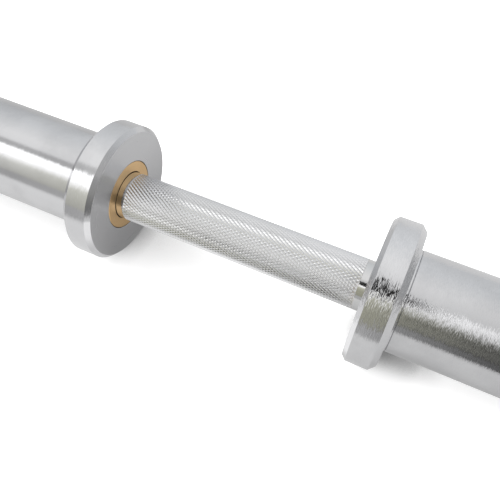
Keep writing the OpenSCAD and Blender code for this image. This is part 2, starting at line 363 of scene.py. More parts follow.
# %% Sleeves and rims
SIDE_WAVER = {"left": 0.06, "right": 0.30}
SLEEVE_WAVER = 1.4
RIM_WAVER = 2.0
sleeve_steel = {}
rim_steel = {}
for label, waver in SIDE_WAVER.items():
    sleeve_steel[label] = turned_metal(
        f"{label}_sleeve_steel",
        colour=(0.66, 0.66, 0.67),
        dark=(0.54, 0.54, 0.55),
        roughness=0.07,
        spread=0.03,
        marks=(4200.0, 14.0, SLEEVE_WAVER * waver),
        bump=0.00003,
        stretch=0.5,
    )
    rim_steel[label] = turned_metal(
        f"{label}_rim_steel",
        colour=(0.70, 0.70, 0.71),
        dark=(0.58, 0.58, 0.59),
        roughness=0.07,
        spread=0.03,
        marks=(4200.0, 16.0, RIM_WAVER * waver),
        bump=0.00003,
        stretch=0.4,
    )
print("ground steels:", len(sleeve_steel) + len(rim_steel))

# %% [markdown]
# The collar's flat faces are satin. The short lands beside the knurl are polished. The
# knurl itself is a clean, slightly soft metal, because its diamonds already break up the
# light. The flange of the bushing is machined bronze.

# %% Faces, grip and bronze
face_steel = turned_metal(
    "satin_face_steel",
    colour=(0.60, 0.60, 0.61),
    dark=(0.57, 0.57, 0.58),
    roughness=0.26,
    spread=0.04,
    marks=(1500.0, 6.0, 0.02),
    bump=0.00001,
    stretch=0.3,
)
land_steel = turned_metal(
    "polished_land_steel",
    colour=(0.64, 0.64, 0.64),
    dark=(0.60, 0.60, 0.60),
    roughness=0.06,
    spread=0.02,
    marks=(2600.0, 10.0, 0.03),
    bump=0.00001,
    stretch=0.2,
)
knurl_steel = turned_metal(
    "knurled_grip_steel",
    colour=(0.73, 0.73, 0.74),
    dark=(0.67, 0.67, 0.67),
    roughness=0.22,
    spread=0.04,
    marks=(1800.0, 40.0, 0.0),
    bump=0.00002,
    stretch=0.0,
)
bronze = turned_metal(
    "bearing_bronze",
    colour=(0.80, 0.56, 0.30),
    dark=(0.68, 0.45, 0.22),
    roughness=0.34,
    spread=0.05,
    marks=(2200.0, 14.0, 0.03),
    bump=0.00002,
    stretch=0.2,
)
print("finishes:", face_steel.name, land_steel.name, knurl_steel.name, bronze.name)

# %% [markdown]
# The rest is out of sight from the camera, but the cap and its dark ring show when the bar is
# turned round. The bores and the gap round each bushing's flange get a dark brown: painted
# shade for these narrow recesses.

# %% Washers, rings, bores and caps
washer_steel = turned_metal(
    "ground_washer_steel",
    colour=(0.58, 0.59, 0.60),
    dark=(0.48, 0.48, 0.50),
    roughness=0.28,
    spread=0.05,
    marks=(2000.0, 20.0, 0.02),
    bump=0.00002,
    stretch=0.2,
)
spring_steel = turned_metal(
    "oiled_spring_steel",
    colour=(0.09, 0.09, 0.10),
    dark=(0.05, 0.05, 0.055),
    roughness=0.35,
    spread=0.10,
    marks=(1500.0, 30.0, 0.0),
    bump=0.00002,
    stretch=0.0,
)
# Painted shade: this dark brown darkens the bores and the gap round each flange.
bore_painted_shade = turned_metal(
    "bore_painted_shade",
    colour=(0.16, 0.12, 0.07),
    dark=(0.07, 0.05, 0.03),
    roughness=0.45,
    spread=0.10,
    marks=(1500.0, 20.0, 0.0),
    bump=0.00002,
    stretch=0.0,
)
cap_metal = turned_metal(
    "turned_cap_metal",
    colour=(0.66, 0.66, 0.67),
    dark=(0.58, 0.58, 0.59),
    roughness=0.22,
    spread=0.05,
    marks=(2400.0, 8.0, 0.05),
    bump=0.00003,
    stretch=0.4,
)
print("finishes:", washer_steel.name, spring_steel.name, bore_painted_shade.name, cap_metal.name)

# %% [markdown]
# ## The lathe
#
# A turned piece is a profile swept once round the axis. A real edge is never perfectly
# sharp, and the thin bright line that a broken edge catches is what makes metal read as
# metal. So the profile first gets a small arc at every corner. The true surface direction
# at each profile point is worked out with it.


# %% Eased profile
LATHE_ARC_STEPS = 3
LONGEST_CUT = 0.45


def eased_profile(corners, radius):
    points = []
    normals = []
    count = len(corners)
    for i, corner in enumerate(corners):
        here = np.array(corner)
        before = np.array(corners[i - 1]) - here
        after = np.array(corners[(i + 1) % count]) - here
        length_before = np.linalg.norm(before)
        length_after = np.linalg.norm(after)
        before /= length_before
        after /= length_after
        turn = math.acos(max(-1.0, min(1.0, float(before @ after))))
        cut = radius / math.tan(turn / 2)
        cut = min(cut, LONGEST_CUT * length_before, LONGEST_CUT * length_after)
        normal_in = np.array((before[1], -before[0]))
        normal_out = np.array((-after[1], after[0]))
        for k in range(LATHE_ARC_STEPS + 1):
            t = k / LATHE_ARC_STEPS
            curve = (1 - t) ** 2 * before * cut + t ** 2 * after * cut
            direction = (1 - t) * normal_in + t * normal_out
            points.append(here + curve)
            normals.append(direction / np.linalg.norm(direction))
    return points, normals


print("each corner becomes", LATHE_ARC_STEPS + 1, "points")

# %% [markdown]
# The lathe then copies the eased profile to many angles and joins neighbours with faces. It
# stores the directions as the mesh's own normals, so that flats stay flat and arcs stay
# round. The left side is the same profile turned half way round the upright axis.


# %% Lathe
LATHE_SEGMENTS = 224
LATHE_EASE = 0.00015


def add_piece(name, mesh):
    piece = bpy.data.objects.new(name, mesh)
    bpy.context.scene.collection.objects.link(piece)
    return piece


def lathe(name, corners, side, ease=LATHE_EASE):
    points, normals = eased_profile(corners, ease)
    area = sum(
        points[i - 1][0] * points[i][1] - points[i][0] * points[i - 1][1]
        for i in range(len(points))
    )
    facing = 1.0 if area < 0 else -1.0
    count = len(points)
    vertices = []
    directions = []
    for s in range(LATHE_SEGMENTS):
        angle = 2 * math.pi * s / LATHE_SEGMENTS
        c = math.cos(angle)
        d = math.sin(angle)
        for (x, r), (nx, nr) in zip(points, normals):
            vertices.append((side * x, side * r * c, r * d))
            directions.append((side * nx * facing, side * nr * facing * c, nr * facing * d))
    faces = []
    for s in range(LATHE_SEGMENTS):
        here = s * count
        there = ((s + 1) % LATHE_SEGMENTS) * count
        for i in range(count):
            j = (i + 1) % count
            loop = (here + i, here + j, there + j, there + i)
            faces.append(loop if facing < 0 else loop[::-1])
    mesh = bpy.data.meshes.new(name)
    mesh.from_pydata(vertices, [], faces)
    mesh.validate()
    mesh.polygons.foreach_set("use_smooth", [True] * len(mesh.polygons))
    mesh.normals_split_custom_set_from_vertices(directions)
    return add_piece(name, mesh)


print("lathe with", LATHE_SEGMENTS, "segments")

# %% [markdown]
# A finished piece rides its body, has a material slot and replaces its CAD node. Faces
# nearer to the axis than a given radius are a bore or the gap round a flange, and get a dark
# finish that is painted shade. Where a piece has two finishes, the second one goes on its flat
# faces, which look along the bar.

# %% Dress a piece
FLAT_FACE = 0.9


def dress(piece, materials, body, node, painted_shade_r=0.0):
    for material in materials:
        piece.data.materials.append(material)
    piece.data.materials.append(bore_painted_shade)
    for polygon in piece.data.polygons:
        # Painted shade: faces inside this radius take the dark recess finish.
        if math.hypot(polygon.center.y, polygon.center.z) < painted_shade_r:
            polygon.material_index = len(materials)
        elif len(materials) > 1:
            polygon.material_index = int(abs(polygon.normal.x) > FLAT_FACE)
    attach(piece, body)
    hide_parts(node)
    print(piece.name, "stands for", node, "with", len(piece.data.polygons), "faces")


print("piece helper: dress")

# %% [markdown]
# ## Collars
#
# A collar is a steel disc that stops the plates. Its rims are chamfered. Its inner face
# has a counterbore, in which the bushing's flange lies flush. On its outer face stands a
# low boss as wide as the sleeve, and the joint between the two shows as a fine dark line.

# %% Collars
INNER_CHAMFER = 0.0022
OUTER_CHAMFER = 0.0029
FLANGE_T = 0.003
FLANGE_GAP = 0.0003
BUSH_R = 0.016
SPIGOT_R = 0.023
SPIGOT_L = 0.010
SEAT_RELIEF = 0.0005
SEAT_RELIEF_W = 0.0003
JOINT_CHAMFER = 0.00025

collar_profile = [
    (collar_face, flange_r + FLANGE_GAP),
    (collar_face, collar_r - INNER_CHAMFER),
    (collar_face + INNER_CHAMFER, collar_r),
    (collar_back - OUTER_CHAMFER, collar_r),
    (collar_back, collar_r - OUTER_CHAMFER),
    (collar_back, sleeve_r + SEAT_RELIEF_W),
    (collar_back - SEAT_RELIEF, sleeve_r + SEAT_RELIEF_W),
    (collar_back - SEAT_RELIEF, sleeve_r),
    (boss_end - JOINT_CHAMFER, sleeve_r),
    (boss_end, sleeve_r - JOINT_CHAMFER),
    (boss_end, SPIGOT_R),
    (collar_back - SPIGOT_L, SPIGOT_R),
    (collar_back - SPIGOT_L, BUSH_R),
    (collar_face + FLANGE_T, BUSH_R),
    (collar_face + FLANGE_T, flange_r + FLANGE_GAP),
]
for label, side in SIDES.items():
    collar = lathe(f"{label}_collar_turned", collar_profile, side)
    finish = [rim_steel[label], face_steel]
    # Painted shade goes on the collar's bore and the gap round the flange.
    dress(collar, finish, f"{label}_sleeve", f"{label}_collar", flange_r + FLANGE_GAP)

# %% [markdown]
# ## Sleeves
#
# A sleeve is a ground tube for plates. Inside, it has a seat for each bushing with a
# wider bore between them, and near its end a pocket, a step for the cap and a groove
# for the cap's ring. All of it is one profile.

# %% Sleeves
SLEEVE_CHAMFER = 0.002
RELIEF_R = 0.018
RELIEF_SLOPE = 0.002
CAP_PLAY = 0.0001
CAP_BORE_R = cap_r + CAP_PLAY
RING_IN, RING_OUT = reach("right_cap_retaining_ring")[:2]
RING_PLAY = 0.0001
RING_GROOVE_DEPTH = 0.0011
RING_R = CAP_BORE_R + RING_GROOVE_DEPTH
END_BUSH_IN, END_FLANGE_OUT = reach("right_end_bushing")[:2]
POCKET_R = flange_r + FLANGE_GAP

sleeve_profile = [
    (collar_back - SPIGOT_L, BUSH_R),
    (collar_back - SPIGOT_L, SPIGOT_R),
    (boss_end, SPIGOT_R),
    (boss_end, sleeve_r - JOINT_CHAMFER),
    (boss_end + JOINT_CHAMFER, sleeve_r),
    (sleeve_end - SLEEVE_CHAMFER, sleeve_r),
    (sleeve_end, sleeve_r - SLEEVE_CHAMFER),
    (sleeve_end, CAP_BORE_R),
    (RING_OUT, CAP_BORE_R),
    (RING_OUT, RING_R),
    (RING_IN - RING_PLAY, RING_R),
    (RING_IN - RING_PLAY, CAP_BORE_R),
    (cap_in, CAP_BORE_R),
    (cap_in, POCKET_R),
    (END_FLANGE_OUT - FLANGE_T, POCKET_R),
    (END_FLANGE_OUT - FLANGE_T, BUSH_R),
    (END_BUSH_IN, BUSH_R),
    (END_BUSH_IN - RELIEF_SLOPE, RELIEF_R),
    (bushing_in + RELIEF_SLOPE, RELIEF_R),
    (bushing_in, BUSH_R),
]
for label, side in SIDES.items():
    sleeve = lathe(f"{label}_sleeve_turned", sleeve_profile, side)
    dress(sleeve, [sleeve_steel[label]], f"{label}_sleeve", f"{label}_sleeve")

# %% [markdown]
# ## Collar bushings
#
# The bronze bushing is pressed into the collar from the grip's side. Only its flange
# shows, as a gold ring flush with the steel, with a fine gap round it, dark from its depth
# and from painted shade on its walls.

# %% Collar bushings
SHAFT_R = 0.0125
BUSH_PLAY = 0.00005
BUSH_BORE_R = SHAFT_R + BUSH_PLAY
BUSH_CHAMFER = 0.0004
BUSH_EASE = 0.0001
BUSH_PAINTED_SHADE = 0.0003

bushing_profile = [
    (collar_face, BUSH_BORE_R + BUSH_CHAMFER),
    (collar_face, flange_r - BUSH_CHAMFER / 2),
    (collar_face + BUSH_CHAMFER / 2, flange_r),
    (collar_face + FLANGE_T, flange_r),
    (collar_face + FLANGE_T, BUSH_R),
    (bushing_in - BUSH_CHAMFER, BUSH_R),
    (bushing_in, BUSH_R - BUSH_CHAMFER),
    (bushing_in, BUSH_BORE_R + BUSH_CHAMFER),
    (bushing_in - BUSH_CHAMFER, BUSH_BORE_R),
    (collar_face + BUSH_CHAMFER, BUSH_BORE_R),
]
for label, side in SIDES.items():
    bushing = lathe(f"{label}_collar_bushing_turned", bushing_profile, side, BUSH_EASE)
    node = f"{label}_collar_bushing"
    # Painted shade goes on the bushing's bore.
    dress(bushing, [bronze], f"{label}_sleeve", node, BUSH_BORE_R + BUSH_PAINTED_SHADE)

# %% [markdown]
# ## End caps
#
# Each sleeve is closed by a turned disc with a shallow dished face, left bare. A groove
# round it holds the seal.

# %% End caps
CAP_DISH_R = 0.014
CAP_DISH_DEPTH = 0.0006
CAP_CHAMFER = 0.0006
CAP_HUB_R = 0.0004
CAP_EASE = 0.0001
SEAL_W = 0.0018
seal_x = (cap_in + cap_out) / 2
seal_groove_r = CAP_BORE_R - SEAL_W

cap_profile = [
    (cap_in, CAP_HUB_R),
    (cap_in, cap_r),
    (seal_x - SEAL_W / 2, cap_r),
    (seal_x - SEAL_W / 2, seal_groove_r),
    (seal_x + SEAL_W / 2, seal_groove_r),
    (seal_x + SEAL_W / 2, cap_r),
    (cap_out - CAP_CHAMFER, cap_r),
    (cap_out, cap_r - CAP_CHAMFER),
    (cap_out, CAP_DISH_R),
    (cap_out - CAP_DISH_DEPTH, CAP_DISH_R - CAP_DISH_DEPTH),
    (cap_out - CAP_DISH_DEPTH, CAP_HUB_R),
]
for label, side in SIDES.items():
    cap = lathe(f"{label}_end_cap_turned", cap_profile, side, CAP_EASE)
    dress(cap, [cap_metal], f"{label}_sleeve", f"{label}_end_cap")

# %% [markdown]
# ## The knurled shaft
#
# The grip is rolled between wheels that press two families of slanting grooves into the
# steel, and what stays between them is a field of small pyramids. A bump map could hint
# at it, but at this distance each diamond is a few pixels wide and its slopes catch the
# light one by one, so the pyramids are real. Their corners lie on a lattice: the
# crossings of the two groove families. The lattice closes round the grip, because a whole
# number of grooves fits. A few spare rows go past each end, where the grooves fade out.

# %% Knurl lattice
KNURL_STARTS = 46
KNURL_ANGLE = math.radians(30)
KNURL_DEPTH = 0.00045
KNURL_FADE = 0.0001
KNURL_END_SLOPE = 0.00008
SPARE_ROWS = 3
LAND_L = 0.004
knurl_end = collar_face - LAND_L
knurl_cut = knurl_end - KNURL_END_SLOPE

places_round = 2 * KNURL_STARTS
arc_step = math.pi / KNURL_STARTS
axial_step = knurl_crest_r * arc_step / math.tan(KNURL_ANGLE)
rows = int(knurl_end / axial_step) + SPARE_ROWS


def on_grip(a, b, depth):
    angle = a * arc_step
    x = b * axial_step
    fade = max(0.0, min(1.0, (knurl_end - abs(x)) / KNURL_FADE))
    radius = knurl_crest_r - depth * fade
    return (x, radius * math.cos(angle), radius * math.sin(angle))


print("grooves each way:", KNURL_STARTS)
print("pitch along the bar:", round(2 * axial_step * 1000, 2), "mm")

# %% [markdown]
# In the photograph one family of grooves reads much stronger than the other, as on a real
# grip whose two wheels pressed unevenly. So each diamond is a small flat top with four
# slopes down to the four crossings round it, but only one family runs at full depth. The
# grooves of the other family rise between the crossings: there, two diamonds share a
# raised notch in the middle of their common edge.

# %% Diamonds
KNURL_TOP = 0.12
CROSS_NOTCH = 0.27
FACES_PER_DIAMOND = 9

knurl_points = []
knurl_faces = []
crossing = {}
notch = {}
for b in range(-rows, rows + 1):
    for a in range(places_round):
        if (a + b) % 2 == 0:
            crossing[(a, b)] = len(knurl_points)
            knurl_points.append(on_grip(a, b, KNURL_DEPTH))
for b in range(-rows + 1, rows):
    for a in range(places_round):
        if (a + b) % 2 == 0:
            continue
        around = [(a + 1, b), (a, b + 1), (a - 1, b), (a, b - 1)]
        low = [crossing[(p % places_round, q)] for p, q in around]
        high = []
        for p, q in around:
            high.append(len(knurl_points))
            knurl_points.append(on_grip(a + (p - a) * KNURL_TOP, b + (q - b) * KNURL_TOP, 0.0))
        knurl_faces.append(high[::-1])
        for k in range(4):
            m = (k + 1) % 4
            if k % 2:
                knurl_faces.append([low[k], high[k], high[m], low[m]])
                continue
            twice_a = (around[k][0] + around[m][0]) % (2 * places_round)
            twice_b = around[k][1] + around[m][1]
            if (twice_a, twice_b) not in notch:
                notch[(twice_a, twice_b)] = len(knurl_points)
                knurl_points.append(on_grip(twice_a / 2, twice_b / 2, KNURL_DEPTH * CROSS_NOTCH))
            middle = notch[(twice_a, twice_b)]
            knurl_faces.append([low[k], high[k], middle])
            knurl_faces.append([high[k], high[m], middle])
            knurl_faces.append([high[m], low[m], middle])
print("diamonds:", len(knurl_faces) // FACES_PER_DIAMOND)

# %% [markdown]
# The lattice is then cut square at both ends, which takes the spare rows off. The cut lies
# a hair inside the band's end, so the open rim is drawn down in a short slope to the plain
# polished land. It is closed there, so that the grip is one solid.

# %% Knurled grip
shaft_mesh = bpy.data.meshes.new("knurled_shaft")
shaft_mesh.from_pydata(knurl_points, [], knurl_faces)
work = bmesh.new()
work.from_mesh(shaft_mesh)
for side in SIDES.values():
    bmesh.ops.bisect_plane(
        work,
        geom=work.verts[:] + work.edges[:] + work.faces[:],
        plane_co=(side * knurl_cut, 0, 0),
        plane_no=(side, 0, 0),
        clear_outer=True,
    )
for side in SIDES.values():
    rim = [e for e in work.edges if e.is_boundary and e.verts[0].co.x * side > 0]
    drawn = bmesh.ops.extrude_edge_only(work, edges=rim)["geom"]
    for item in drawn:
        if isinstance(item, bmesh.types.BMVert):
            angle = math.atan2(item.co.z, item.co.y)
            item.co = (side * knurl_end, SHAFT_R * math.cos(angle), SHAFT_R * math.sin(angle))
    bmesh.ops.holes_fill(work, edges=[item for item in drawn if isinstance(item, bmesh.types.BMEdge)])
bmesh.ops.recalc_face_normals(work, faces=work.faces)
work.to_mesh(shaft_mesh)
work.free()
shaft = add_piece("knurled_shaft", shaft_mesh)
dress(shaft, [knurl_steel], "shaft", "shaft")

# %% [markdown]
# The rest of the shaft is a plain profile, like any turned piece. The polished land shows
# beside the knurl. The bearing journals, the shoulder, the groove for the ring and the
# centre hole that the lathe's tailstock leaves are out of sight.

# %% Shaft journals
JOURNAL_R = 0.011
JOURNAL_EASE = 0.00008
SHOULDER = reach("right_inner_thrust_washer")[0]
SHAFT_CHAMFER = 0.001
SHAFT_RING_IN, SHAFT_RING_OUT = reach("right_shaft_retaining_ring")[:2]
SHAFT_GROOVE_DEPTH = 0.0005
SHAFT_GROOVE_R = JOURNAL_R - SHAFT_GROOVE_DEPTH
LAND_WALL = 0.002
CENTRE_MOUTH_R = 0.003
CENTRE_CONE_L = 0.003
CENTRE_HOLE_R = 0.0012
CENTRE_HOLE_L = 0.0055
CORE_R = 0.0004

journal_profile = [
    (knurl_end, SHAFT_R - LAND_WALL),
    (knurl_end, SHAFT_R),
    (SHOULDER - SHAFT_CHAMFER / 2, SHAFT_R),
    (SHOULDER, SHAFT_R - SHAFT_CHAMFER / 2),
    (SHOULDER, JOURNAL_R),
    (SHAFT_RING_IN - RING_PLAY, JOURNAL_R),
    (SHAFT_RING_IN - RING_PLAY, SHAFT_GROOVE_R),
    (SHAFT_RING_OUT, SHAFT_GROOVE_R),
    (SHAFT_RING_OUT, JOURNAL_R),
    (shaft_end - SHAFT_CHAMFER, JOURNAL_R),
    (shaft_end, JOURNAL_R - SHAFT_CHAMFER),
    (shaft_end, CENTRE_MOUTH_R),
    (shaft_end - CENTRE_CONE_L, CENTRE_HOLE_R),
    (shaft_end - CENTRE_HOLE_L, CENTRE_HOLE_R),
    (shaft_end - CENTRE_HOLE_L, CORE_R),
    (knurl_end, CORE_R),
]
for label, side in SIDES.items():
    journal = lathe(f"{label}_shaft_journal", journal_profile, side, JOURNAL_EASE)
    dress(journal, [land_steel], "shaft", "shaft")

# %% [markdown]
# ## Pieces that keep their CAD shape
#
# The washers, retaining rings, seals and end bushings are right as the CAD has them, so
# they stay and only get their finish. The seal is a dull black rubber ring.

# %% Seal rubber
RUBBER_ROUGHNESS = 0.6
RUBBER_CLOUD_SIZE = 400.0
RUBBER_DARK = (0.018, 0.018, 0.018, 1.0)
RUBBER_LIGHT = (0.035, 0.035, 0.034, 1.0)

rubber = bpy.data.materials.new("seal_rubber")
rubber.use_nodes = True
tree = rubber.node_tree
shader = tree.nodes["Principled BSDF"]
shader.inputs["Roughness"].default_value = RUBBER_ROUGHNESS
cloud = add_node(tree, "ShaderNodeGroup", {"node_tree": uneven_gloss}, Size=RUBBER_CLOUD_SIZE)
tint = blend(tree, "RGBA", cloud.outputs["Mask"], RUBBER_DARK, RUBBER_LIGHT)
feed(tree, shader.inputs["Base Color"], tint)
print("finish:", rubber.name)

# %% [markdown]
# A CAD object is never moved or reshaped here. Its material slots are cleared and get the
# finish of its kind.

# %% Hidden pieces
KEPT = {
    "end_bushing": bronze,
    "inner_thrust_washer": washer_steel,
    "outer_thrust_washer": washer_steel,
    "shaft_retaining_ring": spring_steel,
    "cap_retaining_ring": spring_steel,
    "cap_seal": rubber,
}
for label in SIDES:
    for name, material in KEPT.items():
        piece = nodes[f"{label}_{name}"]
        piece.data.materials.clear()
        piece.data.materials.append(material)
print("kept CAD pieces:", len(KEPT) * len(SIDES))

# %% [markdown]
# ## Studio
#
# Polished metal shows its surroundings, so the studio is half of the finish. The bar lies
# on a white table under a long tent of white cloth. The tent is open towards the camera,
# and that dark opening is the dark band along each sleeve.
#
# The table is one large face that touches the collars from below. A shader could scatter
# light on it, but the camera and the metal each need a brightness of their own there, so
# its paint is a rough white with some glow, and both go by the kind of ray that arrives.

# %% Table
TABLE_Z = -collar_r
TABLE_FRONT = -0.28
TABLE_BACK = 3.0
TABLE_SIDE = 3.0
TABLE_ROUGHNESS = 0.9
WHITE = (1.0, 1.0, 1.0)

table_corners = [
    (-TABLE_SIDE, TABLE_FRONT, TABLE_Z),
    (TABLE_SIDE, TABLE_FRONT, TABLE_Z),
    (TABLE_SIDE, TABLE_BACK, TABLE_Z),
    (-TABLE_SIDE, TABLE_BACK, TABLE_Z),
]
table_mesh = bpy.data.meshes.new("table")
table_mesh.from_pydata(table_corners, [], [(0, 1, 2, 3)])
table = add_piece("table", table_mesh)
table_paint = bpy.data.materials.new("white_table")
table_paint.use_nodes = True
tree = table_paint.node_tree
shader = tree.nodes["Principled BSDF"]
shader.inputs["Roughness"].default_value = TABLE_ROUGHNESS
shader.inputs["Specular IOR Level"].default_value = 0.0
shader.inputs["Emission Color"].default_value = (*WHITE, 1.0)
table_place = add_node(tree, "ShaderNodeSeparateXYZ", Vector=own_place(tree))
table_x = table_place.outputs["X"]
table_y = table_place.outputs["Y"]
print("table at height", round(TABLE_Z, 4))

# %% [markdown]
# ## Shade on the table
#
# A white table under white cloth keeps almost no shadow, only a soft shade where the metal
# is near. Besides the key light's real shadow, that shade is painted into the table's colour
# and glow: an occlusion node measures how much metal stands near a point of the table. It
# looks towards the front left, so the painted shade lies behind the bar and right of it. A
# wide shade and a narrow core at the contact are multiplied. In the photograph the wide
# one reaches farthest between the collars, and it is deepest behind the bar's right half.

# %% Shade near the contacts
LEFT_X = (-0.080, -0.060)
SHORTER_X = (-0.04, 0.03)
WIDE_REACH_LEFT = 0.030
WIDE_REACH_MIDDLE = 0.065
WIDE_REACH_RIGHT = 0.023
WIDE_TOWARDS = (-0.65, -0.40, 0.65)
WIDE_POWER = 0.55
DEEP_POWER = 1.8
DEEPER_Y = (-0.025, -0.012)
DEEPER_X = (0.0, 0.06)
DEEPER_END_X = (0.100, 0.118)
CORE_REACH = 0.010
CORE_POWER = 0.5
CORE_TOWARDS = (-0.60, -0.70, 0.40)
NEAR_SAMPLES = 8


def nearness(distance, power, towards):
    open_side = add_node(tree, "ShaderNodeCombineXYZ", X=towards[0], Y=towards[1], Z=towards[2])
    clear = add_node(
        tree,
        "ShaderNodeAmbientOcclusion",
        {"samples": NEAR_SAMPLES},
        Distance=distance,
        Normal=open_side.outputs[0],
    )
    return arithmetic(tree, "POWER", clear.outputs["AO"], power)


from_middle = span(tree, table_x, DEEPER_X)
to_right = span(tree, table_x, DEEPER_END_X, (1.0, 0.0))
deeper = span(tree, table_y, DEEPER_Y, (0.0, DEEP_POWER - WIDE_POWER))
deeper = arithmetic(tree, "MULTIPLY", deeper, arithmetic(tree, "MULTIPLY", from_middle, to_right))
wide_power = arithmetic(tree, "ADD", deeper, WIDE_POWER)
left_reach = span(tree, table_x, LEFT_X, (WIDE_REACH_LEFT, WIDE_REACH_MIDDLE))
shorter = span(tree, table_x, SHORTER_X, (1.0, WIDE_REACH_RIGHT / WIDE_REACH_MIDDLE))
wide_reach = arithmetic(tree, "MULTIPLY", left_reach, shorter)
wide = nearness(wide_reach, wide_power, WIDE_TOWARDS)
core = nearness(CORE_REACH, CORE_POWER, CORE_TOWARDS)
# Painted shade: this darkens the table's colour and glow near the metal.
painted_contact_shade = arithmetic(tree, "MULTIPLY", wide, core)
print("shade reaches", WIDE_REACH_MIDDLE * 1000, "mm between the collars")

# %% [markdown]
# The metal mirrors the table too, and the photograph doesn't show it even: it is brightest
# in front of the grip, dimmer beside the left collar's inner face and behind the left
# sleeve, and it falls off towards the table's front edge. So the mirrored white and the
# mirrored glow go by the place on the table: painted light in front of the grip, painted
# shade beside the left collar's face and behind the left sleeve, and darker towards the
# front edge.

# %% What the metal mirrors of the table
TABLE_MIRRORED = 0.34
FADE_Y = (-0.28, -0.15)
FADE_LEVEL = 0.60
FACE_X = (-0.060, -0.030)
FACE_LEVEL = 0.70
LEFT_LIFT = 0.46
LEFT_BACK_LIFT = 0.14
BEHIND_Y = (0.0, 0.03)
RIGHT_LIFT = 0.30
GRIP_LIFT = 0.72
GRIP_Y = (-0.030, -0.018)
GRIP_X = (0.045, 0.060)

from_left = span(tree, table_x, LEFT_X)
fade = span(tree, table_y, FADE_Y, (FADE_LEVEL, 1.0))
# Painted shade: the mirrored table is dimmed beside the left collar's inner face.
painted_face_shade = span(tree, table_x, FACE_X, (FACE_LEVEL, 1.0))
dimming = arithmetic(tree, "MULTIPLY", fade, blend(tree, "FLOAT", from_left, 1.0, painted_face_shade))
mirrored_white = arithmetic(tree, "MULTIPLY", dimming, TABLE_MIRRORED)
# Painted shade: the mirrored glow behind the left sleeve is lower.
left_lift = blend(tree, "FLOAT", span(tree, table_y, BEHIND_Y), LEFT_LIFT, LEFT_BACK_LIFT)
# Painted light: the mirrored glow is raised in front of the grip.
grip_front = span(tree, table_y, GRIP_Y, (GRIP_LIFT, RIGHT_LIFT))
grip_lift = blend(tree, "FLOAT", span(tree, table_x, GRIP_X), grip_front, RIGHT_LIFT)
side_lift = blend(tree, "FLOAT", from_left, left_lift, grip_lift)
mirrored_lift = arithmetic(tree, "MULTIPLY", dimming, side_lift)
print("mirrored glow from", LEFT_BACK_LIFT, "to", GRIP_LIFT)

# %% [markdown]
# The paint then joins the two. A camera ray meets the white table with its shade, and a
# mirrored ray meets the other white. The glow lifts both to the level that the photograph
# has, and no other ray gets any, so the table throws no extra light on the bar.

# %% Table paint
TABLE_SEEN = 0.80
TABLE_SEEN_LIFT = 0.66

rays = add_node(tree, "ShaderNodeLightPath").outputs
seen = rays["Is Camera Ray"]
mirrored = arithmetic(tree, "MAXIMUM", rays["Is Glossy Ray"], rays["Is Transmission Ray"])
seen_white = arithmetic(tree, "MULTIPLY", painted_contact_shade, TABLE_SEEN)
seen_lift = arithmetic(tree, "MULTIPLY", painted_contact_shade, TABLE_SEEN_LIFT)
feed(tree, shader.inputs["Base Color"], blend(tree, "FLOAT", seen, mirrored_white, seen_white))
lift = arithmetic(tree, "MULTIPLY", mirrored, mirrored_lift)
lift = arithmetic(tree, "MULTIPLY_ADD", seen, seen_lift, lift)
feed(tree, shader.inputs["Emission Strength"], lift)
table.data.materials.append(table_paint)
print("table paint has", len(tree.nodes), "nodes")

# %% [markdown]
# ## Tent
#
# The tent is a half pipe of cloth round the bar, closed at both ends. Lamps could stand in
# for its bands of light, but one glowing cloth gives them soft edges and has a level for
# every angle. Only mirrored rays see it, so it can be as bright as the reflections need
# without changing anything else. The pipe's axis is the bar's, so the height angle round
# the bar says which part of the cloth the turned metal mirrors.

# %% Tent
TENT_R = 1.0
TENT_HALF = 3.0
TENT_STEPS = 96
TENT_LOW = -80.0
TENT_HIGH = 180.0

tent_points = []
tent_faces = []
for i in range(TENT_STEPS + 1):
    angle = math.radians(TENT_LOW + (TENT_HIGH - TENT_LOW) * i / TENT_STEPS)
    for x in (-TENT_HALF, TENT_HALF):
        tent_points.append((x, -TENT_R * math.cos(angle), TENT_R * math.sin(angle)))
for i in range(TENT_STEPS):
    tent_faces.append((2 * i, 2 * i + 1, 2 * i + 3, 2 * i + 2))
tent_faces.append(tuple(range(0, 2 * TENT_STEPS + 2, 2)))
tent_faces.append(tuple(range(1, 2 * TENT_STEPS + 2, 2)))
tent_mesh = bpy.data.meshes.new("tent")
tent_mesh.from_pydata(tent_points, [], tent_faces)
tent = add_piece("tent", tent_mesh)
tent.visible_camera = False
tent.visible_shadow = False
tent.visible_diffuse = False
print("tent faces:", len(tent_faces))

# %% [markdown]
# A strip light, a dim seam above it, a bright roof and the dark opening below: that is what
# the sleeves mirror from top to bottom. It changes along the bar, so the cloth is described
# at nine places along it. Each row gives the place, then the brightness of the
# opening's low and high part, how olive and how rippled that is, the two height angles
# between which the strip light comes up, and the brightness of strip, seam, roof and back.

